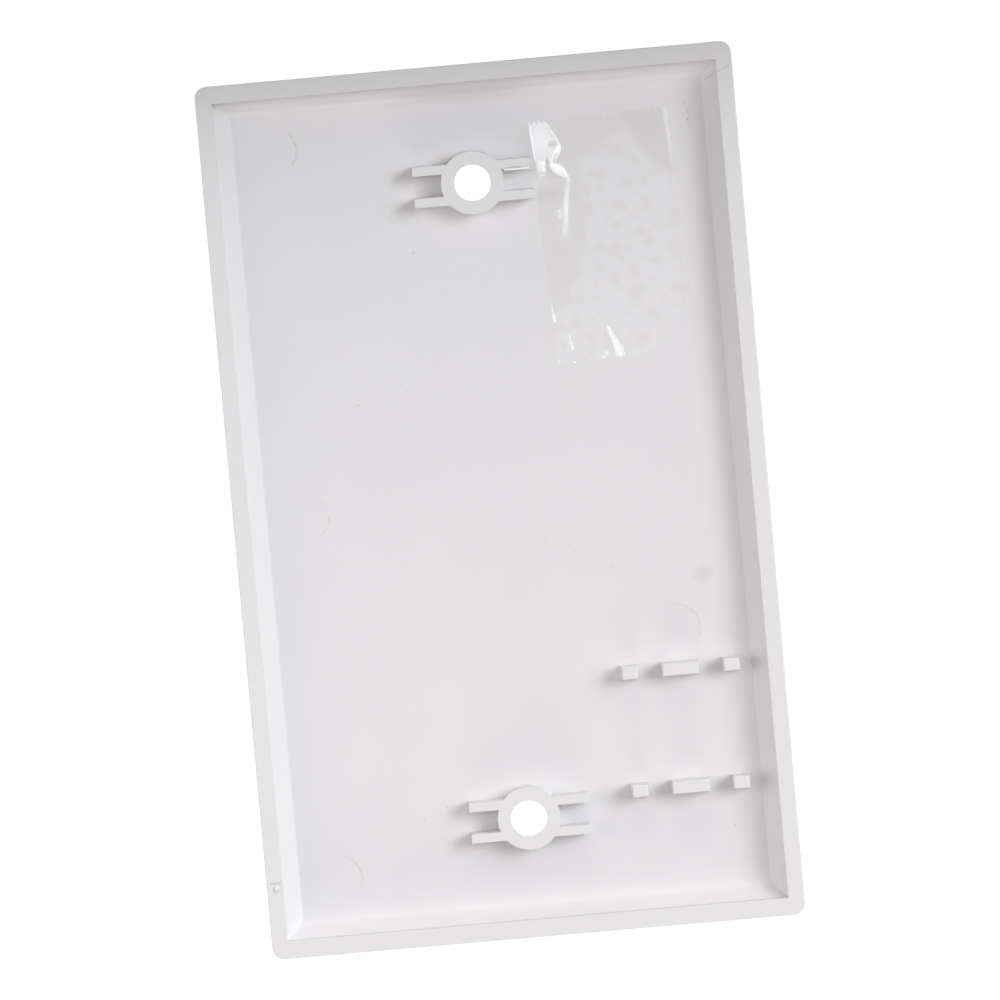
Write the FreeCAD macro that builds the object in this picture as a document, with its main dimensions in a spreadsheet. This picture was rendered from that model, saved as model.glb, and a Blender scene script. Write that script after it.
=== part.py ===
import FreeCAD, Part
import math
import os
import re

import Sketcher

# Single-gang blank wall plate, lying face down. X runs across it, Y along it and Z up out of its back.
# The origin is the middle of the front face. Lengths are in millimetres, angles in degrees.
SIZES = {
    # Outer form
    "plate_width": 69.85,
    "plate_length": 114.3,
    "plate_thickness": 5.6,
    "plate_corner": 1.5,
    "edge_land": 2.0,
    "bevel_run": 2.4,
    "face_corner": 1.5,
    "face_round": 0.8,
    "shoulder_round": 0.8,
    "rim_round": 0.12,
    # Hollow back: flat rim, bevelled lip, sloping walls and floor
    "face_thickness": 2.0,
    "rim_width": 2.08,
    "lip_bevel": 0.28,
    "wall_run": 1.84,
    "end_foot_round": 1.8,
    # Screw bosses and their ribs, with tops that stop short of the rim
    "screw_spacing": 83.34,
    "hole_diameter": 4.75,
    "sink_diameter": 7.4,
    "sink_angle": 82.0,
    "boss_diameter": 8.2,
    "boss_drop": 1.1,
    "boss_draft": 2.0,
    "rib_thickness": 1.2,
    "rib_reach": 7.7,
    "rib_offset": 2.05,
    "rib_draft": 1.5,
    # Two rows of locating nubs, beside the right wall
    "nub_drop": 0.8,
    "nub_depth": 1.4,
    "nub_narrow": 1.95,
    "nub_wide": 4.65,
    "nub_draft": 5.0,
    "nub_round": 0.2,
    "nub_pitch": 6.65,
    "nub_wall_gap": 2.65,
    "nub_row_rise": 2.27,
    "nub_row_pitch": 15.5,
    # Sunken marks of the ejector pins, and the gate on the left rim
    "mark_diameter": 6.1,
    "mark_depth": 0.05,
    "mark_inset": 5.2,
    "mark_nub_gap": 5.3,
    "gate_end_gap": 9.25,
    "gate_length": 1.75,
    "gate_edge": 0.4,
    "gate_depth": 0.25,
    "stub_diameter": 0.8,
    "stub_height": 0.2,
    "stub_bevel": 0.12,
    # Strip of clear tape: one lower corner torn off, the upper left corner peeled up along a fold
    "tape_thickness": 0.06,
    "tape_length": 32.0,
    "tape_turn": 2.3,
    "tape_rib_gap": 0.1,
    "tape_wall_gap": 3.7,
    "tape_end_gap": 4.15,
    "tear_rise": 7.5,
    "tear_run": 8.0,
    "flap_width": 4.8,
    "flap_foot": 6.3,
    "flap_lift": 22.0,
}

# Expressions that several features share
HALF_WIDTH = "plate_width / 2"
HALF_LENGTH = "plate_length / 2"
FLOOR_INSET = "(rim_width + lip_bevel + wall_run)"
FLOOR_X = f"({HALF_WIDTH} - {FLOOR_INSET})"
FLOOR_Y = f"({HALF_LENGTH} - {FLOOR_INSET})"
CAVITY_DEPTH = "(plate_thickness - face_thickness)"
SCREW_Y = "screw_spacing / 2"
NUB_X = f"({FLOOR_X} - nub_wall_gap - nub_pitch)"
NUB_Y = f"(nub_row_rise - {SCREW_Y})"

# Names for the points of a sketch's lines and arcs, its origin and its axes
START, END, CENTRE = range(1, 4)
LEVEL_AXIS, UPRIGHT_AXIS = range(-1, -3, -1)
ORIGIN = (LEVEL_AXIS, START)


def fill_sheet(doc):
    sheet = doc.addObject("Spreadsheet::Sheet", "sizes")
    for row, (alias, value) in enumerate(SIZES.items(), start=1):
        sheet.set(f"A{row}", alias)
        sheet.set(f"B{row}", str(value))
        sheet.setAlias(f"B{row}", alias)
    doc.recompute()
    return sheet


def bind(expression):
    """Puts the sheet's name before each size in an expression."""
    return re.sub(r"[a-z]+(_[a-z]+)+", r"sizes.\g<0>", expression)


def value_of(owner, expression):
    return float(owner.evalExpression(bind(expression)))


def origin_of(body, role):
    return next(feature for feature in body.Origin.OriginFeatures if feature.Role == role)


def sketch_on(body, name, role, height=None):
    """A sketch on one of the body's origin planes, raised along the plane's normal."""
    sketch = body.newObject("Sketcher::SketchObject", name)
    sketch.AttachmentSupport = (origin_of(body, role), [""])
    sketch.MapMode = "FlatFace"
    if height:
        sketch.setExpression("AttachmentOffset.Base.z", bind(height))
    return sketch


def relate(sketch, kind, *where):
    sketch.addConstraint(Sketcher.Constraint(kind, *where))


def drive(sketch, expression, kind, *where):
    """A dimension of the sketch, bound to the sheet."""
    index = sketch.addConstraint(Sketcher.Constraint(kind, *where, value_of(sketch, expression)))
    sketch.setExpression(f"Constraints[{index}]", bind(expression))


def place(sketch, x, y, *point):
    """Places a point of the sketch by two expressions; "0" puts it on an axis."""
    for kind, expression, axis in (("DistanceX", x, UPRIGHT_AXIS), ("DistanceY", y, LEVEL_AXIS)):
        if expression == "0":
            relate(sketch, "PointOnObject", *point, axis)
        else:
            drive(sketch, expression, kind, *ORIGIN, *point)


def circle(sketch, diameter, x, y):
    centre = FreeCAD.Vector(value_of(sketch, x), value_of(sketch, y), 0)
    radius = value_of(sketch, diameter) / 2
    index = sketch.addGeometry(Part.Circle(centre, FreeCAD.Vector(0, 0, 1), radius))
    drive(sketch, diameter, "Diameter", index)
    place(sketch, x, y, index, CENTRE)


def rectangle(sketch, across, along, x, y):
    """A rectangle whose lower left corner is at x, y."""
    width, height, left, low = (value_of(sketch, e) for e in (across, along, x, y))
    corners = [(left, low), (left + width, low), (left + width, low + height), (left, low + height)]
    corners = [FreeCAD.Vector(*corner, 0) for corner in corners]
    first = sketch.GeometryCount
    for i in range(4):
        sketch.addGeometry(Part.LineSegment(corners[i], corners[(i + 1) % 4]))
    for i in range(4):
        relate(sketch, "Coincident", first + i, END, first + (i + 1) % 4, START)
        relate(sketch, "Vertical" if i % 2 else "Horizontal", first + i)
    drive(sketch, across, "DistanceX", first, START, first, END)
    drive(sketch, along, "DistanceY", first + 1, START, first + 1, END)
    place(sketch, x, y, first, START)


def centred_rectangle(sketch, across, along, x, y):
    rectangle(sketch, across, along, f"{x} - ({across}) / 2", f"{y} - ({along}) / 2")


def rounded_rectangle(sketch, across, along, corner):
    """A rectangle with round corners, centred on the origin."""
    width, height, radius = (value_of(sketch, e) for e in (across, along, corner))
    turns = ((1, -1), (1, 1), (-1, 1), (-1, -1))
    centres = [FreeCAD.Vector(x * (width / 2 - radius), y * (height / 2 - radius), 0) for x, y in turns]
    for i, centre in enumerate(centres):
        begin = (i - 1) * math.pi / 2
        outward = FreeCAD.Vector(math.cos(begin), math.sin(begin), 0) * radius
        sketch.addGeometry(Part.LineSegment(centres[i - 1] + outward, centre + outward))
        round_corner = Part.Circle(centre, FreeCAD.Vector(0, 0, 1), radius)
        sketch.addGeometry(Part.ArcOfCircle(round_corner, begin, begin + math.pi / 2))
    for i in range(4):
        line, arc, next_line = 2 * i, 2 * i + 1, (2 * i + 2) % 8
        relate(sketch, "Tangent", line, END, arc, START)
        relate(sketch, "Tangent", arc, END, next_line, START)
        relate(sketch, "Vertical" if i % 2 else "Horizontal", line)
    for arc in (3, 5, 7):
        relate(sketch, "Equal", 1, arc)
    relate(sketch, "Symmetric", 1, CENTRE, 5, CENTRE, *ORIGIN)
    drive(sketch, corner, "Radius", 1)
    drive(sketch, across, "DistanceX", 6, START, 2, START)
    drive(sketch, along, "DistanceY", 0, START, 4, START)


def hollow_section(sketch, half):
    """The hollow's section from wall to wall: floor, sloping walls and bevelled lips."""
    foot = (f"{half} - {FLOOR_INSET}", "face_thickness")
    bend = (f"{half} - rim_width - lip_bevel", "plate_thickness - lip_bevel")
    lip = (f"{half} - rim_width", "plate_thickness")
    right = [FreeCAD.Vector(value_of(sketch, x), value_of(sketch, y), 0) for x, y in (foot, bend, lip)]
    left = [FreeCAD.Vector(-point.x, point.y, 0) for point in reversed(right)]
    points = [left[-1], *right, *left[:-1]]
    for i in range(6):
        sketch.addGeometry(Part.LineSegment(points[i], points[(i + 1) % 6]))
    for i in range(6):
        relate(sketch, "Coincident", i, END, (i + 1) % 6, START)
    pairs = (
        ((0, START), (0, END), foot),
        ((4, END), (2, START), bend),
        ((4, START), (2, END), lip),
    )
    for twin, point, where in pairs:
        relate(sketch, "Symmetric", *twin, *point, UPRIGHT_AXIS)
        place(sketch, *where, *point)


def pad(body, name, sketch, length, draft=None, symmetric=False):
    feature = body.newObject("PartDesign::Pad", name)
    feature.Profile = sketch
    feature.setExpression("Length", bind(length))
    if draft:
        feature.setExpression("TaperAngle", bind(f"-{draft}"))
    if symmetric:
        feature.SideType = "Symmetric"
    return feature


def pocket(body, name, sketch, depth):
    feature = body.newObject("PartDesign::Pocket", name)
    feature.Profile = sketch
    feature.setExpression("Length", bind(depth))


def edges_at(body, height, crosswise=False):
    """The body so far, and the names of its edges that lie flat at a height, or of those that run across it."""
    body.Document.recompute()
    base = body.Tip
    z = value_of(base, height)
    tolerance = 1e-6
    names = []
    for index, edge in enumerate(base.Shape.Edges, start=1):
        box = edge.BoundBox
        level = abs(box.ZMin - z) < tolerance and abs(box.ZMax - z) < tolerance
        if level and (box.YLength < tolerance or not crosswise):
            names.append(f"Edge{index}")
    return base, names


def round_edges(body, name, radius, height, crosswise=False):
    edges = edges_at(body, height, crosswise)
    feature = body.newObject("PartDesign::Fillet", name)
    feature.Base = edges
    feature.setExpression("Radius", bind(radius))


def bevel_edges(body, name, size, height):
    edges = edges_at(body, height)
    feature = body.newObject("PartDesign::Chamfer", name)
    feature.Base = edges
    feature.setExpression("Size", bind(size))


def make_core(doc):
    """The mould's core, which leaves the hollow: sloping walls, mitred corners, rounded feet at the two ends."""
    across = doc.addObject("PartDesign::Body", "core_across")
    section = sketch_on(across, "core_across_section", "XZ_Plane")
    hollow_section(section, HALF_WIDTH)
    pad(across, "core_across_block", section, "plate_length", symmetric=True)

    along = doc.addObject("PartDesign::Body", "core_along")
    section = sketch_on(along, "core_along_section", "YZ_Plane")
    hollow_section(section, HALF_LENGTH)
    pad(along, "core_along_block", section, "plate_width", symmetric=True)
    round_edges(along, "end_feet", "end_foot_round", "face_thickness", crosswise=True)
    doc.recompute()
    shared = along.newObject("PartDesign::Boolean", "core_shape")
    shared.Type = "Common"
    shared.setObjects([across])
    return along


def add_outer_form(body):
    """Front face, bevelled sides and upright land, with the outer edges rounded."""
    shoulder = "plate_thickness - edge_land"
    front = sketch_on(body, "front_outline", "XY_Plane")
    rounded_rectangle(front, "plate_width - 2 * bevel_run", "plate_length - 2 * bevel_run", "face_corner")
    edge = sketch_on(body, "edge_outline", "XY_Plane", shoulder)
    rounded_rectangle(edge, "plate_width", "plate_length", "plate_corner")
    bevel = body.newObject("PartDesign::AdditiveLoft", "bevelled_front")
    bevel.Profile = front
    bevel.Sections = [edge]
    bevel.Ruled = True
    pad(body, "land", edge, "edge_land")
    round_edges(body, "face_rounding", "face_round", "0")
    round_edges(body, "shoulder_rounding", "shoulder_round", shoulder)
    round_edges(body, "rim_rounding", "rim_round", "plate_thickness")


def add_bosses(body):
    """A drafted boss with two bars through it, which stand out as four ribs; then its mirror image."""
    height = f"({CAVITY_DEPTH} - boss_drop)"
    boss_outline = sketch_on(body, "boss_outline", "XY_Plane", "face_thickness")
    circle(boss_outline, f"boss_diameter + 2 * {height} * tan(boss_draft)", "0", SCREW_Y)
    boss = pad(body, "boss", boss_outline, height, "boss_draft")

    growth = f"2 * {height} * tan(rib_draft)"
    bars = sketch_on(body, "rib_outlines", "XY_Plane", "face_thickness")
    for side in ("-", "+"):
        middle = f"{SCREW_Y} {side} rib_offset"
        centred_rectangle(bars, f"2 * rib_reach + {growth}", f"rib_thickness + {growth}", "0", middle)
    ribs = pad(body, "ribs", bars, height, "rib_draft")
    body.Document.recompute()

    lower = body.newObject("PartDesign::Mirrored", "lower_boss")
    lower.Originals = [boss, ribs]
    lower.MirrorPlane = (origin_of(body, "XZ_Plane"), [""])
    body.Tip = lower


def add_nubs(body):
    """A row of a narrow, a wide and a narrow drafted nub; then the row above it."""
    height = f"({CAVITY_DEPTH} - nub_drop)"
    growth = f"2 * {height} * tan(nub_draft)"
    row = (
        ("nub_narrow", f"{NUB_X} - nub_pitch"),
        ("nub_wide", NUB_X),
        ("nub_narrow", f"{NUB_X} + nub_pitch"),
    )
    outlines = sketch_on(body, "nub_outlines", "XY_Plane", "face_thickness")
    for across, x in row:
        centred_rectangle(outlines, f"{across} + {growth}", f"nub_depth + {growth}", x, NUB_Y)
    nubs = pad(body, "nubs", outlines, height, "nub_draft")
    body.Document.recompute()

    rows = body.newObject("PartDesign::LinearPattern", "nub_rows")
    rows.Originals = [nubs]
    rows.Direction = (origin_of(body, "Y_Axis"), [""])
    rows.setExpression("Length", bind("nub_row_pitch"))
    rows.Occurrences = 2
    body.Tip = rows
    round_edges(body, "nub_rounding", "nub_round", "plate_thickness - nub_drop")


def add_mould_marks(body):
    """Sunken discs where the ejector pins pushed, and the gate's recess with the stub left in it."""
    mark_x = f"({FLOOR_X} - mark_inset)"
    mark_y = f"({FLOOR_Y} - mark_inset)"
    pins = (
        (f"-{mark_x}", mark_y),
        (mark_x, mark_y),
        (f"-{mark_x}", "0"),
        (f"-{mark_x}", f"-{mark_y}"),
        (mark_x, f"-{mark_y}"),
        (NUB_X, f"{NUB_Y} + nub_row_pitch + mark_nub_gap"),
    )
    discs = sketch_on(body, "ejector_outlines", "XY_Plane", "face_thickness")
    for x, y in pins:
        circle(discs, "mark_diameter", x, y)
    pocket(body, "ejector_marks", discs, "mark_depth")

    gate_y = f"(gate_end_gap - {HALF_LENGTH})"
    gate_width = "rim_width + lip_bevel - gate_edge"
    recess = sketch_on(body, "gate_outline", "XY_Plane", "plate_thickness")
    rectangle(recess, gate_width, "gate_length", f"gate_edge - {HALF_WIDTH}", f"{gate_y} - gate_length / 2")
    pocket(body, "gate_recess", recess, "gate_depth")

    stub = sketch_on(body, "stub_outline", "XY_Plane", "plate_thickness - gate_depth")
    circle(stub, "stub_diameter", f"(gate_edge + rim_width) / 2 - {HALF_WIDTH}", gate_y)
    pad(body, "gate_stub", stub, "stub_height")
    bevel_edges(body, "stub_top", "stub_bevel", "plate_thickness - gate_depth + stub_height")


def add_screw_holes(body):
    """Clearance holes for the two plate screws, countersunk from the front."""
    centres = sketch_on(body, "hole_centres", "XY_Plane")
    for side in ("-", ""):
        circle(centres, "hole_diameter", "0", f"{side}{SCREW_Y}")
    body.Document.recompute()
    holes = body.newObject("PartDesign::Hole", "screw_holes")
    holes.Profile = centres
    holes.Reversed = True
    holes.DepthType = "ThroughAll"
    holes.ThreadType = "None"
    holes.setExpression("Diameter", bind("hole_diameter"))
    holes.HoleCutType = "Countersink"
    holes.HoleCutCustomValues = True
    holes.setExpression("HoleCutDiameter", bind("sink_diameter"))
    holes.setExpression("HoleCutCountersinkAngle", bind("sink_angle"))


def make_wall_plate(doc):
    body = doc.addObject("PartDesign::Body", "wall_plate")
    add_outer_form(body)
    doc.recompute()
    hollow = body.newObject("PartDesign::Boolean", "hollow_back")
    hollow.Type = "Cut"
    hollow.setObjects([make_core(doc)])
    doc.recompute()
    add_bosses(body)
    add_nubs(body)
    add_mould_marks(body)
    add_screw_holes(body)
    return body


def make_adhesive_tape(doc, sheet):
    """The strip, drawn from its upper left corner, and its flap turned up about the oblique fold."""
    inset = sheet.rim_width + sheet.lip_bevel + sheet.wall_run
    left = sheet.rib_reach + sheet.tape_rib_gap
    top = sheet.plate_length / 2 - inset - sheet.tape_end_gap
    right = sheet.plate_width / 2 - inset - sheet.tape_wall_gap
    turn = math.radians(sheet.tape_turn)
    side = sheet.tape_length - sheet.tear_rise
    width = (right - left - side * math.sin(turn)) / math.cos(turn)

    foot = -sheet.tape_length
    peeled = FreeCAD.Vector(0, 0, 0)
    fold_top = FreeCAD.Vector(sheet.flap_width, 0, 0)
    fold_foot = FreeCAD.Vector(0, foot + sheet.flap_foot, 0)
    stuck = [
        fold_top,
        fold_foot,
        FreeCAD.Vector(0, foot, 0),
        FreeCAD.Vector(width - sheet.tear_run, foot, 0),
        FreeCAD.Vector(width, -side, 0),
        FreeCAD.Vector(width, 0, 0),
    ]
    film = FreeCAD.Vector(0, 0, sheet.tape_thickness)
    strip = Part.Face(Part.makePolygon(stuck, True)).extrude(film)
    flap = Part.Face(Part.makePolygon([peeled, fold_foot, fold_top], True))
    flap.rotate(fold_top, fold_foot - fold_top, -sheet.flap_lift)
    tape = doc.addObject("Part::Feature", "adhesive_tape")
    tape.Shape = strip.fuse(flap.extrude(film))
    corner = FreeCAD.Vector(left, top, sheet.face_thickness)
    turned = FreeCAD.Rotation(FreeCAD.Vector(0, 0, 1), sheet.tape_turn)
    tape.Placement = FreeCAD.Placement(corner, turned)
    return tape


def main():
    doc = FreeCAD.newDocument("blank_wall_plate")
    sheet = fill_sheet(doc)
    nodes = [make_wall_plate(doc), make_adhesive_tape(doc, sheet)]
    doc.recompute()
    for item in doc.Objects:
        if "Invalid" in item.State or "Error" in item.State:
            raise RuntimeError(f"{item.Label} failed: {item.State}")
    for node in nodes:
        if node.Shape.isNull() or not node.Shape.isValid():
            raise RuntimeError(f"{node.Label} has no valid shape")
    os.makedirs("parts", exist_ok=True)
    for node in nodes:
        node.Shape.exportStep(f"parts/{node.Label}.step")
        print(node.Label, len(node.Shape.Solids), round(node.Shape.Volume, 3), node.Shape.BoundBox)


main()
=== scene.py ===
import math

import bmesh
import bpy
import numpy as np
from mathutils import Matrix, Quaternion, Vector


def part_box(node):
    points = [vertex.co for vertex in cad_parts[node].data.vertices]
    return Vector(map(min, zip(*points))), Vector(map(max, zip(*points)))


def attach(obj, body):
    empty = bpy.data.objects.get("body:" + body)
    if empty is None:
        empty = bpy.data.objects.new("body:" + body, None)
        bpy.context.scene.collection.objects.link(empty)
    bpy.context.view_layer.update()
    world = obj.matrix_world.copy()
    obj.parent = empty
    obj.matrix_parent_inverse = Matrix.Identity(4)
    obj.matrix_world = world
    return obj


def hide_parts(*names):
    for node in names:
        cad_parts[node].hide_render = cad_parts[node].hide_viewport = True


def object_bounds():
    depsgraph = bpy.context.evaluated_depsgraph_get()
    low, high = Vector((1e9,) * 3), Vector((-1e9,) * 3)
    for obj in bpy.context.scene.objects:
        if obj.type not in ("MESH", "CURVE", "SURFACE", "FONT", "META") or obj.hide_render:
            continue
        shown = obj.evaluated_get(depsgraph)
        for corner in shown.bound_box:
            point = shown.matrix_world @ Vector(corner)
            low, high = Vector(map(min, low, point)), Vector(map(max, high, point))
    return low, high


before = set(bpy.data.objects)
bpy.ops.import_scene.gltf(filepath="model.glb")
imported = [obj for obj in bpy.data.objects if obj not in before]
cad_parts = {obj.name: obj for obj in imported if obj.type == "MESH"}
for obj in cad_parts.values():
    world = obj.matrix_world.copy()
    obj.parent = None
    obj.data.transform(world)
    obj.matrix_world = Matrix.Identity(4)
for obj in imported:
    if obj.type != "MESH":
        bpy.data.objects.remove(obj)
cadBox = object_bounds()
mm = 0.001  # the scene is in metres, sizes below are in millimetres unless a note says otherwise


def linearColour(hexText):
    parts = [int(hexText[i:i + 2], 16) / 255 for i in (1, 3, 5)]
    return [p / 12.92 if p <= 0.04045 else ((p + 0.055) / 1.055) ** 2.4 for p in parts] + [1.0]


def addNode(tree, kind, inputs=None, **settings):
    node = tree.nodes.new(kind)
    for name, value in settings.items():
        setattr(node, name, value)
    for name, value in (inputs or {}).items():
        if isinstance(value, bpy.types.NodeSocket):
            tree.links.new(value, node.inputs[name])
        else:
            node.inputs[name].default_value = value
    return node


def newMaterial(name):
    material = bpy.data.materials.new(name)
    material.use_nodes = True
    material.node_tree.nodes.clear()
    return material, material.node_tree


def addPiece(name, mesh, material):
    piece = bpy.data.objects.new(name, mesh)
    bpy.context.scene.collection.objects.link(piece)
    mesh.materials.append(material)
    return piece


def bakedMesh(piece):
    # the piece's mesh with its modifiers in it, which are then removed
    depsgraph = bpy.context.evaluated_depsgraph_get()
    mesh = bpy.data.meshes.new_from_object(piece.evaluated_get(depsgraph), preserve_all_data_layers=True,
                                           depsgraph=depsgraph)
    mesh.name = piece.name
    piece.modifiers.clear()
    return mesh


# Moulded plate

plateLook = {
    "colour": "#E4E2E3",
    "cloudColour": "#DFDDDE",
    "cloudSize": 14.0,
    "cloudRange": (0.3, 0.7),  # noise values of the smoothest and the dullest patches
    "roughness": (0.40, 0.50),  # of those patches
    "ior": 1.53,
    "grainSize": 0.3,  # mould texture; the real one is finer and would not show
    "grainDepth": 0.004,
    "smearSize": 0.5,  # wobble in the outlines of scuffs and specks
    "smearReach": 0.3,
    # dark colour of the real scuffs and specks, and of the painted shade in the pin-mark arcs and under the
    # upper lip
    "dirtAndShadeColour": "#8C8684",
    "crackColour": "#6F6967",
    "sharpAngle": 30.0,
    "mergeReach": 0.001,  # vertices closer than this are one
}

# Inner walls: an upright lip under the rim, then a slope, with a rounded foot at the two ends
innerWalls = {
    "rimWidth": 2.08,
    "lipDrop": 1.2,
    "lipRun": 0.03,
    "endLip": 0.2,  # the rim is this much wider at the ends
    "wallRun": 2.12,  # from the rim to where slope and floor would meet
    "endRound": 2.1,
    "endReach": 3.3,  # the solid's end walls lie within this of the rim
    "slack": 0.02,  # a vertex this far off a wall still belongs to it
    "strips": 12,
}

# Locating nubs: where they stand, and how far their tops are drawn out to make the sides steeper
nubLook = {
    "across": (14.775, 21.425, 28.075),
    "along": (-39.4, -23.9),
    "height": 2.8,
    "foot": 0.1,  # nothing lower than this moves
    "reach": (2.7, 1.0),  # half the room round a nub, across and along
    "drawSides": 0.04,
    "drawUpper": 0.22,
    "drawLower": 0.03,
}

# Dark marks seen from above: scuffs and specks, arcs of painted shade round the pin marks, and a dark line
# along the lower edge of the rib beside the flap. Each: place, half length, half width, turn and strength
marksAndPaintedShade = [
    ((25.35, -11.86), 1.90, 1.75, 20, 0.15),
    ((-8.52, 33.12), 0.45, 0.14, 35, 0.30),
    ((-17.58, 14.0), 0.40, 0.20, 10, 0.28),
    ((-11.76, 16.11), 0.50, 0.12, 60, 0.22),
    ((5.21, -5.35), 0.50, 0.12, -30, 0.22),
    ((8.24, -6.67), 0.35, 0.12, 15, 0.22),
    ((13.86, -9.80), 0.40, 0.14, -50, 0.20),
    ((-13.74, -41.0), 0.16, 0.14, 0, 0.45),
    ((-10.58, -39.56), 0.14, 0.14, 0, 0.40),
    ((-9.07, -40.22), 0.16, 0.13, 40, 0.45),
    ((26.79, -45.08), 0.22, 0.10, 70, 0.50),
    # from here, arcs of painted shade on the side of each pin mark's recess that is turned from the light
    ((28.3, 49.6), 0.55, 0.10, 125, 0.30),
    ((28.75, 48.4), 0.60, 0.10, 95, 0.42),
    ((28.6, 47.4), 0.40, 0.11, 75, 0.50),
    ((-23.1, 49.7), 0.70, 0.13, 130, 0.32),
    ((-22.62, 48.6), 0.60, 0.16, 105, 0.42),
    ((-22.68, 47.2), 0.90, 0.10, 78, 0.22),
    ((-23.1, 46.3), 0.55, 0.13, 60, 0.42),
    ((-22.85, -46.5), 0.95, 0.13, 128, 0.10),
    ((-22.59, -0.47), 0.85, 0.11, 83, 0.24),
    ((-23.33, -2.04), 0.82, 0.10, 48, 0.20),
    ((-23.28, 1.77), 0.73, 0.13, 130, 0.09),
    ((23.42, -16.73), 0.80, 0.14, 139, 0.07),
    ((24.16, -17.98), 0.85, 0.14, 104, 0.08),
    # dark line along the lower edge of the rib beside the flap
    ((5.4, 43.24), 1.60, 0.13, 0, 0.55),
]

# The hairline crack from the inner wall over the rim
crack = {
    "path": [(31.2, 52.35), (32.8, 53.15), (33.6, 53.6), (34.75, 54.15)],  # its bends, from the foot outwards
    "halfWidth": 0.17,
    "overlap": 1.3,  # each run is drawn this much longer, so that they join
    "strength": 0.22,
}

# Painted shade under the upper lip, where the lip shades the wall: darkest at the lip, fading towards the
# floor
lipShade = {
    "reach": 0.9,  # how far from the lip it has faded out
    "begins": 0.1,  # below the rim
    "full": 0.3,
    "strength": 0.25,
}


def markMask(tree, place, centre, halfLength, halfWidth, turn, strength):
    # a soft spot or streak, seen from above: full in its inner fifth, 0 outside, the same at any height
    local = addNode(tree, "ShaderNodeMapping", {
        "Vector": place,
        "Location": [c * mm for c in centre] + [0],
        "Rotation": (0, 0, math.radians(turn)),
        "Scale": (halfLength * mm, halfWidth * mm, 1e6),
    }, vector_type="TEXTURE")
    reach = addNode(tree, "ShaderNodeVectorMath", {0: local.outputs[0]}, operation="LENGTH")
    return addNode(tree, "ShaderNodeMapRange", {
        "Value": reach.outputs["Value"],
        "From Min": 1.0,
        "From Max": 0.2,
        "To Min": 0.0,
        "To Max": strength,
    }, interpolation_type="SMOOTHSTEP").outputs[0]


def strongest(tree, masks):
    mask = masks[0]
    for other in masks[1:]:
        mask = addNode(tree, "ShaderNodeMath", {0: mask, 1: other}, operation="MAXIMUM").outputs[0]
    return mask


def mixColours(tree, share, first, second):
    mix = addNode(tree, "ShaderNodeMix", data_type="RGBA")
    for name, value in (("Factor_Float", share), ("A_Color", first), ("B_Color", second)):
        socket = next(s for s in mix.inputs if s.identifier == name)
        if isinstance(value, bpy.types.NodeSocket):
            tree.links.new(value, socket)
        else:
            socket.default_value = value
    return next(s for s in mix.outputs if s.identifier == "Result_Color")


def lipShadeMask(tree, place):
    # painted shade: darkens the wall just below the upper lip, the more the nearer the lip
    lip = cadBox[1][1] - (innerWalls["rimWidth"] + innerWalls["endLip"]) * mm
    rim = cadBox[1][2]
    axes = addNode(tree, "ShaderNodeSeparateXYZ", {0: place})
    near = addNode(tree, "ShaderNodeMapRange", {
        "Value": axes.outputs["Y"],
        "From Min": lip - lipShade["reach"] * mm,
        "From Max": lip,
    }).outputs[0]
    below = addNode(tree, "ShaderNodeMapRange", {
        "Value": axes.outputs["Z"],
        "From Min": rim - lipShade["begins"] * mm,
        "From Max": rim - lipShade["full"] * mm,
        "To Max": lipShade["strength"],
    }).outputs[0]
    faded = addNode(tree, "ShaderNodeMath", {0: near, 1: near}, operation="MULTIPLY")
    return addNode(tree, "ShaderNodeMath", {0: faded.outputs[0], 1: below}, operation="MULTIPLY").outputs[0]


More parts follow.
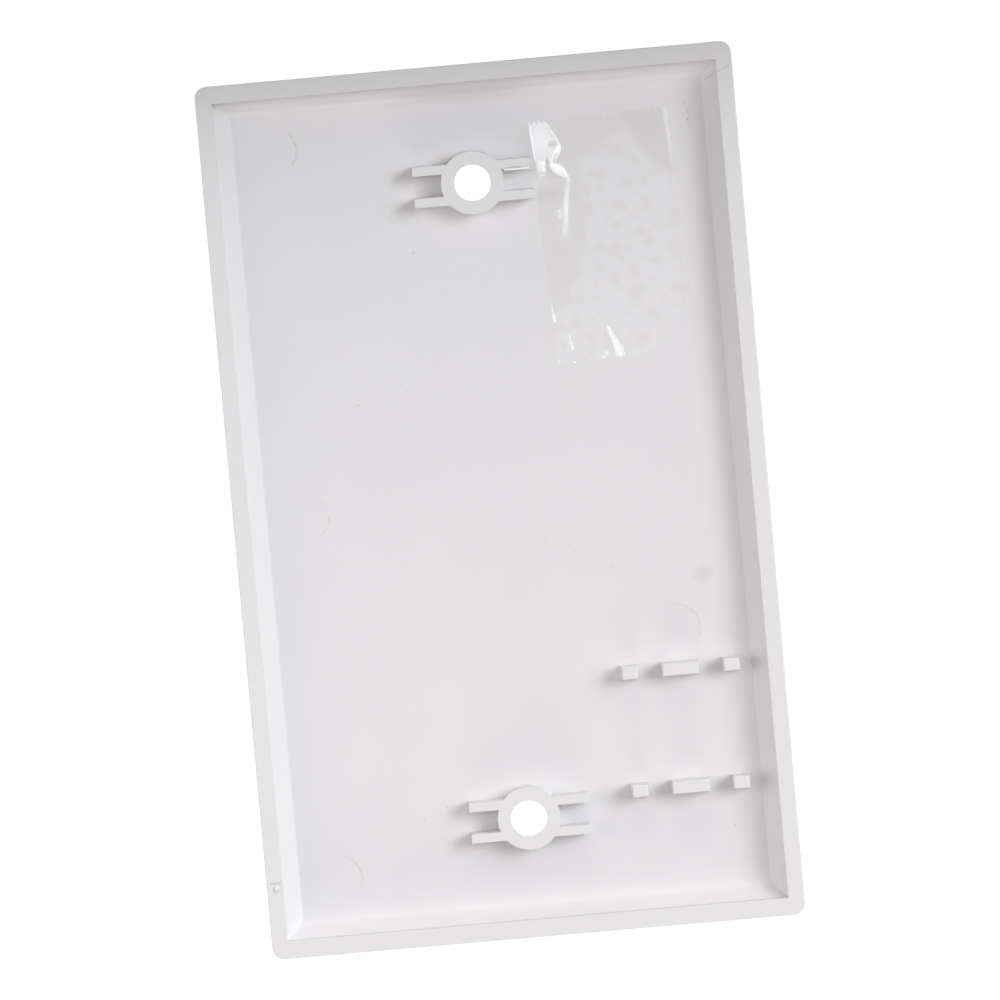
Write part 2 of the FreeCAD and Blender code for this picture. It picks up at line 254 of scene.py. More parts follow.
def makePlatePlastic():
    # White ABS, injection moulded in a fine-blasted cavity: satin, slightly cloudy, with scuffs from handling
    material, tree = newMaterial("moulded white ABS")
    place = addNode(tree, "ShaderNodeTexCoord").outputs["Object"]

    cloud = addNode(tree, "ShaderNodeTexNoise", {
        "Vector": place, "Scale": 1 / (plateLook["cloudSize"] * mm), "Detail": 3.0, "Roughness": 0.55,
    }).outputs[0]
    plain = linearColour(plateLook["colour"])
    colour = mixColours(tree, cloud, plain, linearColour(plateLook["cloudColour"]))

    wander = addNode(tree, "ShaderNodeTexNoise", {
        "Vector": place, "Scale": 1 / (plateLook["smearSize"] * mm), "Detail": 2.0,
    })
    drift = addNode(tree, "ShaderNodeVectorMath", {0: wander.outputs["Color"], 1: (0.5, 0.5, 0.5)},
                    operation="SUBTRACT")
    smear = (plateLook["smearReach"] * mm,) * 3
    smeared = addNode(tree, "ShaderNodeVectorMath", {0: drift.outputs[0], 1: smear, 2: place},
                      operation="MULTIPLY_ADD")
    # scuffs and specks are real marks; the arcs round the pin marks and the band under the upper lip are
    # painted shade
    marks = [markMask(tree, smeared.outputs[0], *mark) for mark in marksAndPaintedShade]
    scuffAndShadeMask = strongest(tree, marks + [lipShadeMask(tree, place)])
    colour = mixColours(tree, scuffAndShadeMask, colour, linearColour(plateLook["dirtAndShadeColour"]))

    runs = []
    for start, end in zip(crack["path"], crack["path"][1:]):
        run = Vector(end) - Vector(start)
        middle = (Vector(start) + Vector(end)) / 2
        halfLength = run.length / 2 * crack["overlap"]
        turn = math.degrees(math.atan2(run.y, run.x))
        runs.append(markMask(tree, place, middle, halfLength, crack["halfWidth"], turn, crack["strength"]))
    colour = mixColours(tree, strongest(tree, runs), colour, linearColour(plateLook["crackColour"]))

    dull = addNode(tree, "ShaderNodeMapRange", {
        "Value": cloud,
        "From Min": plateLook["cloudRange"][0],
        "From Max": plateLook["cloudRange"][1],
        "To Min": plateLook["roughness"][0],
        "To Max": plateLook["roughness"][1],
    }).outputs[0]
    grain = addNode(tree, "ShaderNodeTexNoise", {
        "Vector": place, "Scale": 1 / (plateLook["grainSize"] * mm), "Detail": 2.0,
    }).outputs[0]
    bump = addNode(tree, "ShaderNodeBump", {"Height": grain, "Distance": plateLook["grainDepth"] * mm})
    surface = addNode(tree, "ShaderNodeBsdfPrincipled", {
        "Base Color": colour, "Roughness": dull, "IOR": plateLook["ior"], "Normal": bump.outputs[0],
    })
    addNode(tree, "ShaderNodeOutputMaterial", {"Surface": surface.outputs[0]})
    return material


def wallProfile(fall, depth, start, footRound):
    # how far a wall has come inwards at a depth below the rim: upright lip, straight slope, rounded foot
    drop = innerWalls["lipDrop"]
    lipEnd = start + innerWalls["lipRun"]
    footLine = innerWalls["wallRun"]
    if fall < drop:
        return start + innerWalls["lipRun"] * fall / drop
    slope = math.atan2(depth - drop, footLine - lipEnd)
    reach = footRound * math.tan(slope / 2)
    if fall <= depth - reach * math.sin(slope):
        return lipEnd + (fall - drop) / math.tan(slope)
    level = min(1.0, (fall - depth + footRound) / footRound) if footRound else 1.0
    return footLine + reach - footRound * math.sqrt(1 - level * level)


def shapeInnerWalls(shape, floorHeight, rimHeight):
    # cuts the walls into level strips and draws their vertices in or out, each at its own height
    lipX = cadBox[1][0] - innerWalls["rimWidth"] * mm
    lipY = cadBox[1][1] - innerWalls["rimWidth"] * mm
    depth = rimHeight - floorHeight
    slack = innerWalls["slack"] * mm
    sideReach = innerWalls["wallRun"] * mm + slack
    endReach = innerWalls["endReach"] * mm

    def onWall(vertex):
        # whether it lies on a side wall, and whether on an end wall
        fromSide = lipX - abs(vertex.co.x)
        fromEnd = lipY - abs(vertex.co.y)
        level = floorHeight - slack < vertex.co.z < rimHeight + slack
        inside = level and min(fromSide, fromEnd) > -slack
        return inside and fromSide < sideReach, inside and fromEnd < endReach

    drop = innerWalls["lipDrop"] * mm
    strips = innerWalls["strips"]
    turns = [strip / strips * math.pi / 2 for strip in range(strips)]
    levels = [rimHeight - drop - (depth - drop) * math.sin(turn) for turn in turns]
    for wall, heights in ((0, levels[:1]), (1, levels)):
        for height in heights:
            faces = [face for face in shape.faces if all(onWall(vertex)[wall] for vertex in face.verts)]
            parts = faces + list(dict.fromkeys(edge for face in faces for edge in face.edges))
            parts += list(dict.fromkeys(vertex for face in faces for vertex in face.verts))
            bmesh.ops.bisect_plane(shape, geom=parts, plane_co=(0, 0, height), plane_no=(0, 0, 1),
                                   dist=plateLook["mergeReach"] * mm)
    for vertex in shape.verts:
        side, end = onWall(vertex)
        fall = min(depth, max(0.0, rimHeight - vertex.co.z)) / mm
        if side:
            inwards = wallProfile(fall, depth / mm, 0, 0) * mm
            vertex.co.x = math.copysign(lipX - inwards, vertex.co.x)
        if end:
            inwards = wallProfile(fall, depth / mm, innerWalls["endLip"], innerWalls["endRound"]) * mm
            vertex.co.y = math.copysign(lipY - inwards, vertex.co.y)
    bmesh.ops.triangulate(shape, faces=[face for face in shape.faces if len(face.verts) > 4])


def steepenNubs(shape, floorHeight):
    # draws the vertices of each nub away from its middle, the more the higher they are
    roomX, roomY = nubLook["reach"]
    for vertex in shape.verts:
        rise = (vertex.co.z - floorHeight) / mm
        fromX = min((vertex.co.x / mm - x for x in nubLook["across"]), key=abs)
        fromY = min((vertex.co.y / mm - y for y in nubLook["along"]), key=abs)
        if rise > nubLook["foot"] and abs(fromX) < roomX and abs(fromY) < roomY:
            share = rise / nubLook["height"]
            drawAlong = nubLook["drawUpper"] if fromY > 0 else -nubLook["drawLower"]
            vertex.co.x += math.copysign(nubLook["drawSides"], fromX) * share * mm
            vertex.co.y += drawAlong * share * mm


def makePlate():
    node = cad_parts["wall_plate"]
    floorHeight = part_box("adhesive_tape")[0].z
    shape = bmesh.new()
    shape.from_mesh(node.data)
    bmesh.ops.remove_doubles(shape, verts=shape.verts, dist=plateLook["mergeReach"] * mm)
    shapeInnerWalls(shape, floorHeight, cadBox[1][2])
    steepenNubs(shape, floorHeight)
    shape.verts.index_update()
    faces = [[vertex.index for vertex in face.verts] for face in shape.faces]
    mesh = bpy.data.meshes.new("plate")
    mesh.from_pydata([vertex.co[:] for vertex in shape.verts], [], faces)
    shape.free()
    mesh.shade_smooth()
    mesh.set_sharp_from_angle(angle=math.radians(plateLook["sharpAngle"]))
    print("plate:", len(mesh.polygons), "faces, floor at", round(floorHeight / mm, 2), "mm")
    plate = addPiece("plate", mesh, makePlatePlastic())
    smoothing = plate.modifiers.new("smoothing", "WEIGHTED_NORMAL")
    smoothing.keep_sharp = True
    smoothing.weight = 100  # large faces stay flat
    plate.data = bakedMesh(plate)
    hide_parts("wall_plate")
    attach(plate, "root")


# Strip of clear tape

tapeShape = {
    "corner": (7.8, 48.8),  # upper left corner on the plate
    "turn": 2.3,
    "width": 18.27,
    "length": 32.0,
    "underside": 0.015,  # gum line, just clear of the plate
    "thickness": 0.06,
    "toothPitch": 0.74,
    "toothDepth": 0.45,
    "edgePull": 0.42,  # how far the peeled corner draws the left edge in
    "edgePullAt": 7.2,  # most of it this far down the edge
    "edgePullSpread": 2.2,
    "edgePullDepth": 2.5,  # none of it further in than this
    "liftDrift": 0.12,  # sideways shift of lifted film, as a share of its lift
    "tearRun": 8.0,
    "tearRise": 7.6,
    "tearBend": 1.7,
    "fineStep": 0.085,
    "coarseStep": 0.185,
    "fineColumns": 7.03,  # fine grid from the left edge to here
    "fineRows": (9.0, 24.5),  # fine grid above the first and below the second
    "sharpAngle": 50.0,
}

tapeLook = {
    "clearColour": "#FFFFFF",
    # the dim tint also gives the painted crease shadow
    "dimColour": "#F0EDEC",  # where it is loose, creased or wetted out
    # painted highlight: the film's white share is whiter at the flap's edges, lobe and creases than on its
    # flat part
    "flatSheen": "#EAEAEB",
    "edgeSheen": "#FFFFFF",
    "sheenSpan": (0.03, 0.2),  # from the flat part of the flap to its edges, as a step in silver
    "roughness": 0.3,
    "ior": 1.49,
    "leastGloss": 0.02,  # plain reflection on the clear film
    "shadowLoss": 0.8,  # thin film casts only a faint shadow
    "bubbleSize": 1.9,
    "bubbleRange": (0.51, 0.64),  # noise values at which a bubble begins and is full
    "bubbleStrength": 0.10,
}

# Sliver of the same film, caught on the edge of the rib beside the flap
sliver = {
    "start": (4.2, 42.99),
    "end": (7.62, 42.99),
    "width": 0.2,
    "top": 4.5,
}

# Places on the strip: millimetres to the right of and below its upper left corner
flapFoot = (2.2, 0.0)
flapSlope = (-0.395, 0.182)
flapGap = ((2.8, 3.15), (0.62, 0.42))  # the clear oval beside the fold: centre and half axes
# outlines of the flap's white area, partly whitened film and partly painted glare, and of its pinch and lobe
flapGlare = [
    (-1.0, -1.0), (1.0, -1.0), (2.2, 0.1), (2.75, 0.8), (3.25, 1.95), (3.7, 2.9), (3.95, 3.6), (3.65, 4.4),
    (3.1, 5.15), (2.75, 5.65), (2.2, 5.65), (2.07, 5.4), (1.78, 4.8), (1.52, 5.35), (1.42, 5.8), (1.5, 6.3),
    (1.42, 6.95), (1.15, 7.1), (0.7, 7.25), (-1.0, 7.2),
]
pinchGlare = [
    (3.4, 3.3), (3.85, 3.3), (3.95, 3.6), (3.65, 4.4), (3.15, 5.05), (2.8, 5.5), (2.2, 5.65), (2.3, 4.9),
    (2.8, 4.1),
]
lobeGlare = [
    (2.05, 5.5), (2.5, 5.45), (2.8, 5.6), (3.4, 5.95), (3.9, 6.5), (4.25, 7.2), (4.42, 7.9), (4.4, 8.3),
    (4.0, 7.75), (3.4, 7.5), (2.75, 7.15), (2.25, 6.6), (1.97, 6.1),
]
ridgePath = [(3.1, 5.1), (4.3, 7.4), (3.65, 10.4), (3.4, 12.4), (2.9, 15.4)]
looseZone = [
    (-1, -1), (4.9, -1), (5.7, 4.4), (5.95, 11.0), (6.05, 15.0), (4.4, 20.0), (1.9, 23.6), (-1, 27.0),
]
topPatch = [
    (11.0, -1), (17.9, -1), (17.9, 4.7), (18.1, 8.9), (16.4, 8.2), (15.0, 6.3), (13.9, 4.8), (12.5, 2.0),
]
topBand = [(4.0, -1), (18.5, -1), (18.5, 0.8), (14.64, 1.4), (5.6, 5.06), (4.9, 3.0)]

# Creases in the film: white ones are painted glints, partly whitened film, and dark ones are painted crease
# shadow. Each: bends, half widths at the first and the last bend, and strengths there
flapGlints = [
    ([(2.2, 0.35), (2.7, 0.95), (3.2, 2.1), (3.6, 3.0), (3.83, 3.6)], (0.10, 0.16), (0.70, 0.95)),
    ([(0.0, 0.35), (0.09, 2.3), (0.1, 4.0), (0.16, 5.5), (0.5, 6.75)], (0.12, 0.10), (0.90, 0.8)),
    ([(4.3, 7.9), (3.65, 10.5), (3.35, 13.0), (2.95, 15.2)], (0.26, 0.40), (0.62, 0.16)),
    ([(2.65, 12.0), (2.6, 12.6)], (0.34, 0.30), (0.28, 0.24)),
    ([(17.95, 0.0), (17.95, 9.5)], (0.30, 0.30), (0.15, 0.0)),
]
footGlints = [
    ([(0.02, 22.0), (0.05, 25.4)], (0.08, 0.12), (0.05, 0.35)),
    ([(0.05, 25.4), (0.16, 26.05)], (0.24, 0.22), (0.85, 0.85)),
    ([(1.8, 28.2), (2.05, 30.0)], (0.10, 0.16), (0.70, 0.85)),
    ([(6.95, 27.65), (8.15, 31.25)], (0.12, 0.54), (0.95, 1.0)),
    ([(0.0, 31.3), (0.05, 31.8)], (0.12, 0.08), (0.55, 0.75)),
    ([(2.04, 31.8), (2.06, 31.9)], (0.13, 0.13), (0.80, 0.80)),
    ([(3.34, 31.7), (3.38, 31.75)], (0.10, 0.10), (0.45, 0.45)),
    ([(5.85, 31.6), (5.9, 31.65)], (0.16, 0.16), (0.85, 0.85)),
    ([(6.25, 31.15), (6.5, 31.05)], (0.13, 0.13), (0.75, 0.75)),
]
# painted crease shadow: dark lines along the pinch, in the wedge beside the flap and along the right edge
creaseShadows = [
    ([(3.25, 4.3), (2.85, 4.85), (2.68, 5.3), (2.66, 5.65)], (0.06, 0.10), (0.9, 1.0)),
    ([(3.28, 5.15), (3.02, 5.58)], (0.20, 0.16), (0.5, 0.7)),
    ([(1.78, 4.95), (1.75, 5.5)], (0.07, 0.22), (0.3, 0.3)),
    ([(17.5, 0.0), (17.5, 24.0)], (0.12, 0.12), (0.10, 0.10)),
]

# How far the film stands off the plate; a pair says where along the strip a rise or fade begins and ends
filmRise = {
    "looseEase": 2.2,
    "foldEase": 0.08,  # soft start at the fold
    "flapFades": (4.6, 7.6),
    "flapLean": 0.4,
    "tent": 0.55,
    "tentReach": 6.0,
    "tentRises": (4.0, 7.5),
    "tentFades": (9.0, 25.0),
    "ridge": 0.06,
    "ridgeHalfWidth": 0.45,
    "ridgeFades": (8.0, 16.0),
    "gapDip": 0.12,
    "crease": 0.02,
    "wave": 0.012,
    "waveTurns": ((1.7, 0.9), (-0.5, 0.8)),  # radians for each millimetre across and along
}

# How silvery the lifted film is, from 0 for clear to 1, as an opaque white share that is partly whitened film
# and partly painted glare; a pair says where a change begins and ends
silverAndGlareLevels = {
    "flap": 0.58,  # the flap's flat part, which is greyer than its edges and creases
    "flapGain": 0.27,
    "flapGains": (4.4, 5.8),
    "flapLoss": 0.7,
    "flapFades": (6.3, 7.3),
    "lobe": 0.85,
    "pinch": 0.85,
    "edge": (-0.05, 0.14),  # depth inside an outline
    "pinchEdge": (-0.1, 0.2),
    "gapEdge": (0.85, 1.15),  # as a share of the oval's half axes
}

# Areas that dim the plate: outline, strength, and the depths inside the outline where it begins and is full
dimAreas = [
    (looseZone, 0.105, -0.15, 0.25),
    (topPatch, 0.16, -0.6, 0.8),
    (topBand, 0.09, -0.3, 0.3),
]


def smoothStep(low, high, value):
    t = np.clip((value - low) / (high - low), 0, 1)
    return t * t * (3 - 2 * t)


def pathReach(path, u, v):
    # distance to a bent line, and how far along it the nearest point is, from 0 to 1
    lengths = [math.dist(a, b) for a, b in zip(path, path[1:])]
    begins = np.cumsum([0.0] + lengths)
    reach = np.full(u.shape, np.inf)
    share = np.zeros(u.shape)
    for a, b, begin, length in zip(path, path[1:], begins, lengths):
        run = np.subtract(b, a)
        along = np.clip(((u - a[0]) * run[0] + (v - a[1]) * run[1]) / max(length, 1e-9) ** 2, 0, 1)
        distance = np.hypot(u - a[0] - along * run[0], v - a[1] - along * run[1])
        share = np.where(distance < reach, (begin + along * length) / begins[-1], share)
        reach = np.minimum(distance, reach)
    return reach, share


def creaseMask(crease, u, v):
    # full to half of its half width, gone a little outside it
    path, halfWidths, strengths = crease
    reach, share = pathReach(path, u, v)
    half = halfWidths[0] + (halfWidths[1] - halfWidths[0]) * share
    strength = strengths[0] + (strengths[1] - strengths[0]) * share
    return strength * (1 - smoothStep(0.5, 1.3, reach / half))


def creaseMasks(creases, u, v):
    return [creaseMask(crease, u, v) for crease in creases]


def depthInside(outline, u, v):
    # distance to the outline, positive inside it
    reach = pathReach(outline + outline[:1], u, v)[0]
    inside = np.zeros(u.shape, bool)
    for (x0, y0), (x1, y1) in zip(outline, outline[1:] + outline[:1]):
        if y0 != y1:
            inside ^= ((y0 > v) != (y1 > v)) & (u < (x1 - x0) * (v - y0) / (y1 - y0) + x0)
    return np.where(inside, reach, -reach)


def gapReach(u, v):
    # distance from the middle of the clear oval, 1 on its edge
    (middleU, middleV), (halfU, halfV) = flapGap
    return np.hypot((u - middleU) / halfU, (v - middleV) / halfV)


def toothEdge(u):
    # how far the cutter's teeth leave an end short
    wave = np.abs(1 - 2 * np.mod(u / tapeShape["toothPitch"], 1.0))
    return tapeShape["toothDepth"] * (1 - wave)


def filmLift(u, v):
    rise = filmRise
    loose = smoothStep(0, rise["looseEase"], depthInside(looseZone, u, v))
    facet = flapSlope[0] * (u - flapFoot[0]) + flapSlope[1] * (v - flapFoot[1])
    flap = np.logaddexp(0, facet / rise["foldEase"]) * rise["foldEase"]
    flap = flap * (1 - smoothStep(*rise["flapFades"], v - rise["flapLean"] * u))
    tent = rise["tent"] * loose * np.clip(1 - u / rise["tentReach"], 0, 1)
    tent = tent * smoothStep(*rise["tentRises"], v) * (1 - smoothStep(*rise["tentFades"], v))
    ridge = rise["ridge"] * np.exp(-(pathReach(ridgePath, u, v)[0] / rise["ridgeHalfWidth"]) ** 2)
    ridge = ridge * (1 - smoothStep(*rise["ridgeFades"], v))
    gap = rise["gapDip"] * np.exp(-gapReach(u, v) ** 2)
    creases = rise["crease"] * np.max(creaseMasks(footGlints, u, v), axis=0)
    first, second = [np.sin(perU * u + perV * v) for perU, perV in rise["waveTurns"]]
    waves = rise["wave"] * loose * first * second
    return np.maximum(flap - gap, 0) + tent + ridge + creases + np.maximum(waves, 0)


def filmSilverAndGlare(u, v):
    # how much of the film shows as an opaque white surface instead of letting the plate show through: partly
    # whitened, lifted film, partly painted glare on the flap and painted glints along its creases
    sheen = silverAndGlareLevels
    aroundGap = smoothStep(*sheen["gapEdge"], gapReach(u, v))
    flap = smoothStep(*sheen["edge"], depthInside(flapGlare, u, v))
    flap = flap * (sheen["flap"] + sheen["flapGain"] * smoothStep(*sheen["flapGains"], v))
    flap = flap * (1 - sheen["flapLoss"] * smoothStep(*sheen["flapFades"], v)) * aroundGap
    lobe = sheen["lobe"] * smoothStep(*sheen["edge"], depthInside(lobeGlare, u, v))
    pinch = sheen["pinch"] * smoothStep(*sheen["pinchEdge"], depthInside(pinchGlare, u, v)) * aroundGap
    bright = np.max([flap, lobe, pinch] + creaseMasks(flapGlints + footGlints, u, v), axis=0)
    return bright * (1 - np.max(creaseMasks(creaseShadows, u, v), axis=0))


def filmShade(u, v):
    # how much the film dims what is under it: most in its creases, as painted crease shadow, some where it is
    # loose or wetted out
    areas = []
    for outline, strength, begins, full in dimAreas:
        areas.append(strength * smoothStep(begins, full, depthInside(outline, u, v)))
    return np.max(areas + creaseMasks(creaseShadows, u, v), axis=0)


def gridLines(length, breaks):
    # fine and coarse stretches in turn, from 0 to length
    ends = [0.0, *breaks, length]
    lines = [np.array([0.0])]
    for stretch, (low, high) in enumerate(zip(ends, ends[1:])):
        step = tapeShape["coarseStep" if stretch % 2 else "fineStep"]
        count = max(2, round((high - low) / step) + 1)
        lines.append(np.linspace(low, high, count)[1:])
    return np.concatenate(lines)


def makeTapeFilm():
    # Clear polypropylene tape, drawn film with gum on one side: see-through and glossy; where lifted, an
    # opaque white share stands for whitened film and for painted glare and glints
    material, tree = newMaterial("clear polypropylene tape")
    place = addNode(tree, "ShaderNodeTexCoord").outputs["Object"]
    silverAndGlare = addNode(tree, "ShaderNodeAttribute", attribute_name="silverAndGlare").outputs["Fac"]
    shade = addNode(tree, "ShaderNodeAttribute", attribute_name="shade").outputs["Fac"]

    bubbles = addNode(tree, "ShaderNodeTexNoise", {
        "Vector": place, "Scale": 1 / (tapeLook["bubbleSize"] * mm), "Detail": 2.0,
    })
    wetted = addNode(tree, "ShaderNodeMapRange", {
        "Value": bubbles.outputs[0],
        "From Min": tapeLook["bubbleRange"][0],
        "From Max": tapeLook["bubbleRange"][1],
        "To Min": 0.0,
        "To Max": tapeLook["bubbleStrength"],
    }, interpolation_type="SMOOTHSTEP").outputs[0]
    dim = addNode(tree, "ShaderNodeMath", {0: shade, 1: wetted}, operation="MAXIMUM").outputs[0]
    tint = mixColours(tree, dim, linearColour(tapeLook["clearColour"]), linearColour(tapeLook["dimColour"]))
    clear = addNode(tree, "ShaderNodeBsdfTransparent", {"Color": tint})

    apart = addNode(tree, "ShaderNodeMath", {0: silverAndGlare, 1: silverAndGlareLevels["flap"]},
                    operation="SUBTRACT").outputs[0]
    apart = addNode(tree, "ShaderNodeMath", {0: apart}, operation="ABSOLUTE").outputs[0]
    # painted highlight: whiter where the white share differs from that of the flap's flat part
    bright = addNode(tree, "ShaderNodeMapRange", {
        "Value": apart, "From Min": tapeLook["sheenSpan"][0], "From Max": tapeLook["sheenSpan"][1],
    }).outputs[0]
    sheen = mixColours(tree, bright, linearColour(tapeLook["flatSheen"]), linearColour(tapeLook["edgeSheen"]))
    gloss = addNode(tree, "ShaderNodeBsdfPrincipled", {
        "Base Color": sheen, "Roughness": tapeLook["roughness"], "IOR": tapeLook["ior"],
    })

    solid = addNode(tree, "ShaderNodeMath", {0: silverAndGlare, 1: tapeLook["leastGloss"]},
                    operation="ADD").outputs[0]
    shadow = addNode(tree, "ShaderNodeLightPath").outputs["Is Shadow Ray"]
    kept = addNode(tree, "ShaderNodeMath", {0: shadow, 1: -tapeLook["shadowLoss"], 2: 1.0},
                   operation="MULTIPLY_ADD").outputs[0]
    solid = addNode(tree, "ShaderNodeMath", {0: solid, 1: kept}, operation="MULTIPLY").outputs[0]
    film = addNode(tree, "ShaderNodeMixShader", {0: solid, 1: clear.outputs[0], 2: gloss.outputs[0]})
    addNode(tree, "ShaderNodeOutputMaterial", {"Surface": film.outputs[0]})
    return material


def sliverBox():
    # its corners and faces
    half = sliver["width"] / 2
    corners = []
    for height in (sliver["top"] - tapeShape["thickness"], sliver["top"]):
        for x, y in (sliver["start"], sliver["end"]):
            corners += [(x, y - half, height), (x, y + half, height)]
    sides = [(0, 1, 3, 2), (4, 6, 7, 5), (0, 2, 6, 4), (1, 5, 7, 3), (0, 4, 5, 1), (2, 3, 7, 6)]
    return np.array(corners), np.array(sides)


def stripGrid():
    # places on the strip, closer together where the film is creased, within its toothed and torn outline
    columns = gridLines(tapeShape["width"], [tapeShape["fineColumns"]])
    rows = gridLines(tapeShape["length"], tapeShape["fineRows"]) / tapeShape["length"]
    u, share = np.meshgrid(columns, rows, indexing="ij")
    top = toothEdge(u)
    torn = np.clip((u - tapeShape["width"] + tapeShape["tearRun"]) / tapeShape["tearRun"], 0, 1)
    whole = tapeShape["length"] - toothEdge(u) * (torn <= 0)
    bottom = whole - tapeShape["tearRise"] * torn ** tapeShape["tearBend"]
    v = top + (bottom - top) * share
    pull = np.exp(-((v - tapeShape["edgePullAt"]) / tapeShape["edgePullSpread"]) ** 2)
    u = u + tapeShape["edgePull"] * pull * np.clip(1 - u / tapeShape["edgePullDepth"], 0, 1)
    return u, v


def stripFaces(across, along):
    # faces of the underside, of the top, and of the rim between them
    count = across * along
    index = np.arange(count).reshape(across, along)
    quads = np.stack([index[:-1, :-1], index[:-1, 1:], index[1:, 1:], index[1:, :-1]], axis=-1).reshape(-1, 4)
    border = np.concatenate([index[:, 0], index[-1, 1:], index[-2::-1, -1], index[0, -2:0:-1]])
    following = np.roll(border, -1)
    walls = np.stack([border, following, following + count, border + count], axis=-1)
    return [quads[:, ::-1], quads + count, walls]


def makeTape():
    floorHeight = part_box("adhesive_tape")[0].z / mm
    u, v = stripGrid()
    lift = filmLift(u, v)
    turn = math.radians(tapeShape["turn"])
    left, upper = tapeShape["corner"]
    x = left + u * math.cos(turn) + v * math.sin(turn) + tapeShape["liftDrift"] * lift
    y = upper + u * math.sin(turn) - v * math.cos(turn)
    layers = []
    for height in (tapeShape["underside"], tapeShape["thickness"]):
        layers.append(np.stack([x, y, floorHeight + lift + height], axis=-1).reshape(-1, 3) * mm)

    corners, sides = sliverBox()
    points = np.concatenate(layers + [corners * mm])
    faces = np.concatenate(stripFaces(*u.shape) + [sides + 2 * u.size])
    mesh = bpy.data.meshes.new("tapeFilm")
    mesh.from_pydata(points.tolist(), [], faces.tolist())
    shape = bmesh.new()
    shape.from_mesh(mesh)
    bmesh.ops.recalc_face_normals(shape, faces=shape.faces)
    shape.to_mesh(mesh)
    shape.free()
    for name, values, onSliver in (("silverAndGlare", filmSilverAndGlare(u, v), 1.0), ("shade", filmShade(u, v), 0.0)):
        layer = mesh.attributes.new(name, "FLOAT", "POINT")
        values = np.concatenate([values.reshape(-1), values.reshape(-1), np.full(len(corners), onSliver)])
        layer.data.foreach_set("value", values.astype(np.float32))
    mesh.shade_smooth()
    mesh.set_sharp_from_angle(angle=math.radians(tapeShape["sharpAngle"]))
    print("tape:", 2 * len(mesh.polygons), "triangles, lifted by up to", round(float(lift.max()), 2), "mm")
    tape = addPiece("tape", mesh, makeTapeFilm())
    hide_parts("adhesive_tape")
    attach(tape, "root")


# Floor, light and camera

stageLook = {
    "floorSize": 4.0,  # metres
    "floorDrop": 0.02,
    "floorColour": "#EDEDED",
    "floorGlow": 0.9,  # share of white glow that the camera sees on the floor
    "floorGlowStrength": 1.09,
    "cardRadius": 3.6,
    "cardOffset": 41.67,  # half the screw spacing
    "cardSides": 48,
    "cardStrength": 1.6,
    "flagColour": "#0C0C0C",
    "flagGap": 14.0,
    "flagFoot": 7.0,
    "flagHeight": 36.5,
    "flagWidth": 1200.0,
    "lightLevel": 0.845,
    "keyColour": "#F4FBFF",
    "fillColour": "#FFFBFB",
}

# Soft lights round the plate: height, bearing from +X to +Y, both in degrees, tightness and strength
keyLights = [
    (38, 8, 100, 8.80), (38, 20, 100, 11.35), (38, 32, 100, 5.30), (52, 8, 100, 4.24), (52, 20, 100, 2.66),
]
fillLights = [
    (32, 22, 18, 2.01), (32, 60, 18, 0.63), (22, 90, 24, 4.00), (34, 172, 18, 3.00), (10, 30, 22, 1.84),
    (10, 180, 22, 2.06), (10, 270, 22, 5.60), (56, 180, 14, 0.34), (85, 0, 10, 1.33),
]


def rayShare(tree, kinds):
    # 1 for rays of these kinds
    path = addNode(tree, "ShaderNodeLightPath")
    return strongest(tree, [path.outputs[kind] for kind in kinds])


def makeFloor():
    # glows white where it is the background: straight from the camera, mirrored or through clear film
    material, tree = newMaterial("pale studio floor")
    paint = addNode(tree, "ShaderNodeBsdfDiffuse", {"Color": linearColour(stageLook["floorColour"])})
    glow = addNode(tree, "ShaderNodeEmission", {"Strength": stageLook["floorGlowStrength"]})
    seen = rayShare(tree, ("Is Camera Ray", "Is Glossy Ray", "Is Transmission Ray"))
    share = addNode(tree, "ShaderNodeMath", {0: seen, 1: stageLook["floorGlow"]},
                    operation="MULTIPLY").outputs[0]
    mix = addNode(tree, "ShaderNodeMixShader", {0: share, 1: paint.outputs[0], 2: glow.outputs[0]})
    addNode(tree, "ShaderNodeOutputMaterial", {"Surface": mix.outputs[0]})
    half = stageLook["floorSize"] / 2
    level = -stageLook["floorDrop"] * mm
    corners = [(x * half, y * half, level) for x, y in ((-1, -1), (1, -1), (1, 1), (-1, 1))]
    mesh = bpy.data.meshes.new("floor")
    mesh.from_pydata(corners, [], [range(4)])
    addPiece("floor", mesh, material)
    print("floor:", stageLook["floorSize"], "m square")


def makeHoleCards():
    # white discs under the screw holes, which light their bores from below as a glowing table does
    material, tree = newMaterial("white card")
    glow = addNode(tree, "ShaderNodeEmission", {"Strength": stageLook["cardStrength"]})
    addNode(tree, "ShaderNodeOutputMaterial", {"Surface": glow.outputs[0]})
    count = stageLook["cardSides"]
    turns = [step / count * 2 * math.pi for step in range(count)]
    reach = stageLook["cardRadius"] * mm
    offset = stageLook["cardOffset"] * mm
    level = -stageLook["floorDrop"] * mm / 2
    corners = []
    for middle in (-offset, offset):
        corners += [(math.cos(turn) * reach, middle + math.sin(turn) * reach, level) for turn in turns]
    mesh = bpy.data.meshes.new("holeCards")
    mesh.from_pydata(corners, [], [range(count), range(count, 2 * count)])
    cards = addPiece("holeCards", mesh, material)
    cards.visible_camera = False
    print("hole cards:", len(mesh.polygons), "discs")


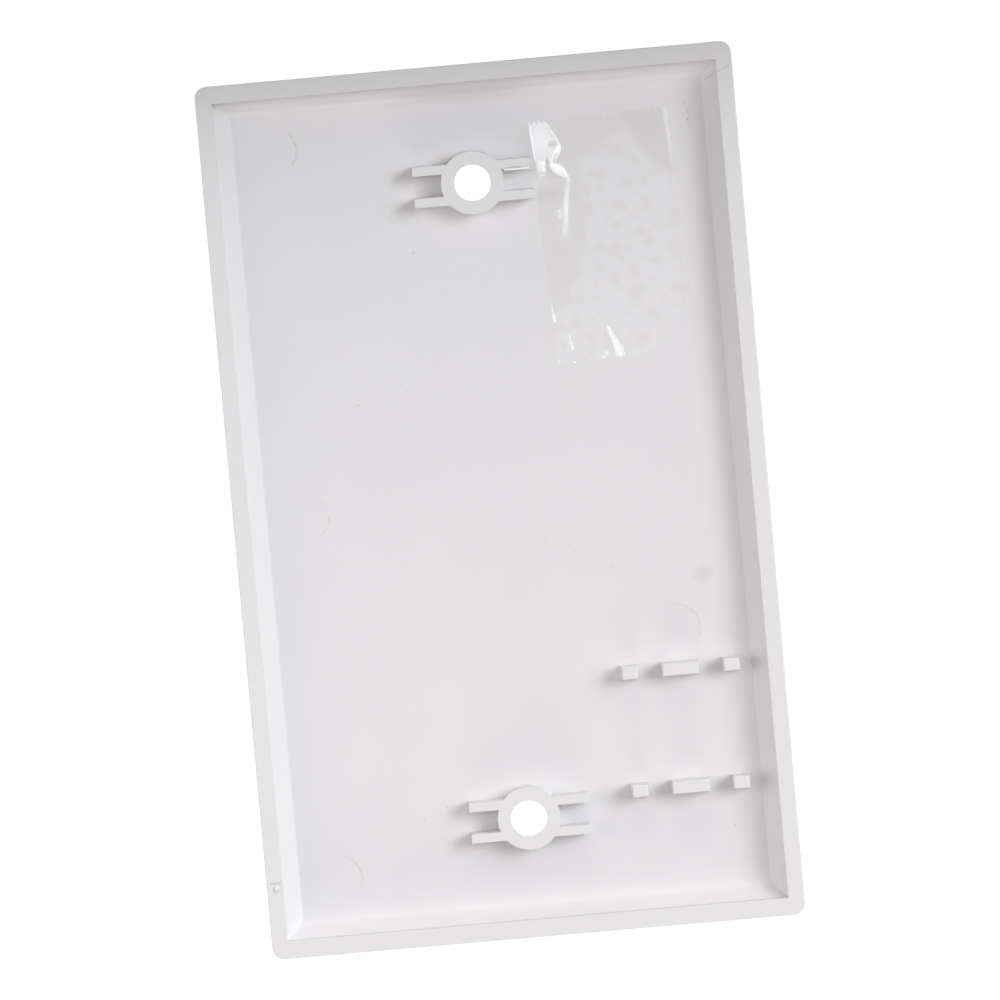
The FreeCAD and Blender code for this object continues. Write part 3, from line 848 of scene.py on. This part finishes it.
def makeFlag():
    # a black card beyond the upper end, which shades that end as the photograph shows
    material, tree = newMaterial("black card")
    paint = addNode(tree, "ShaderNodeBsdfDiffuse", {"Color": linearColour(stageLook["flagColour"])})
    addNode(tree, "ShaderNodeOutputMaterial", {"Surface": paint.outputs[0]})
    y = cadBox[1][1] + stageLook["flagGap"] * mm
    half = stageLook["flagWidth"] / 2 * mm
    foot = stageLook["flagFoot"] * mm
    top = stageLook["flagHeight"] * mm
    mesh = bpy.data.meshes.new("flag")
    mesh.from_pydata([(-half, y, foot), (half, y, foot), (half, y, top), (-half, y, top)], [], [range(4)])
    flag = addPiece("flag", mesh, material)
    flag.visible_camera = False
    print("flag:", stageLook["flagGap"], "mm beyond the upper end")


def lightSum(tree, towards, lights):
    total = 0.0
    for height, bearing, tightness, strength in lights:
        lift = math.radians(height)
        turn = math.radians(bearing)
        middle = (math.cos(lift) * math.cos(turn), math.cos(lift) * math.sin(turn), math.sin(lift))
        near = addNode(tree, "ShaderNodeVectorMath", {0: towards, 1: middle}, operation="DOT_PRODUCT")
        fall = addNode(tree, "ShaderNodeMath", {0: near.outputs["Value"], 1: tightness, 2: -tightness},
                       operation="MULTIPLY_ADD")
        glow = addNode(tree, "ShaderNodeMath", {0: fall.outputs[0]}, operation="EXPONENT")
        total = addNode(tree, "ShaderNodeMath", {0: glow.outputs[0], 1: strength, 2: total},
                        operation="MULTIPLY_ADD").outputs[0]
    level = stageLook["lightLevel"]
    return addNode(tree, "ShaderNodeMath", {0: total, 1: level}, operation="MULTIPLY").outputs[0]


def makeLight():
    world = bpy.data.worlds.new("soft lights")
    world.use_nodes = True
    tree = world.node_tree
    tree.nodes.clear()
    towards = addNode(tree, "ShaderNodeTexCoord").outputs["Generated"]
    parts = []
    for colour, lights in (("keyColour", keyLights), ("fillColour", fillLights)):
        sky = addNode(tree, "ShaderNodeBackground", {
            "Color": linearColour(stageLook[colour]), "Strength": lightSum(tree, towards, lights),
        })
        parts.append(sky.outputs[0])
    light = addNode(tree, "ShaderNodeAddShader", {0: parts[0], 1: parts[1]})
    white = addNode(tree, "ShaderNodeBackground", {"Color": (1, 1, 1, 1)})
    seen = rayShare(tree, ("Is Camera Ray", "Is Transmission Ray"))
    shown = addNode(tree, "ShaderNodeMixShader", {0: seen, 1: light.outputs[0], 2: white.outputs[0]})
    addNode(tree, "ShaderNodeOutputWorld", {"Surface": shown.outputs[0]})
    bpy.context.scene.world = world
    print("light:", len(keyLights) + len(fillLights), "soft lights")


cameraView = {
    "target": (-0.07, 0.30, 5.6),
    "distance": 1000.0,
    "leanRight": 1.112,  # degrees off the vertical
    "leanUp": 3.849,
    "roll": -5.105,
    "lens": 276.6,
    "sensor": 36.0,
    "clipStart": 10.0,
}


def makeCamera():
    up = math.radians(cameraView["leanUp"])
    right = math.radians(cameraView["leanRight"])
    back = Vector((math.sin(right) * math.cos(up), math.sin(up), math.cos(right) * math.cos(up)))
    lens = bpy.data.cameras.new("camera")
    lens.sensor_width = cameraView["sensor"]
    lens.lens = cameraView["lens"]
    lens.clip_start = cameraView["clipStart"] * mm
    camera = bpy.data.objects.new("camera", lens)
    camera.location = (Vector(cameraView["target"]) + back * cameraView["distance"]) * mm
    camera.rotation_mode = "QUATERNION"
    across = Vector((0, 1, 0)).cross(back).normalized()
    level = Matrix((across, back.cross(across), back)).transposed().to_quaternion()
    camera.rotation_quaternion = level @ Quaternion((0, 0, 1), math.radians(cameraView["roll"]))
    bpy.context.scene.collection.objects.link(camera)
    bpy.context.scene.camera = camera
    print("camera:", cameraView["distance"], "mm away,", cameraView["leanUp"], "degrees off the vertical")


makePlate()
makeTape()
makeFloor()
makeHoleCards()
makeFlag()
makeLight()
makeCamera()
bpy.context.scene.view_settings.view_transform = "Standard"
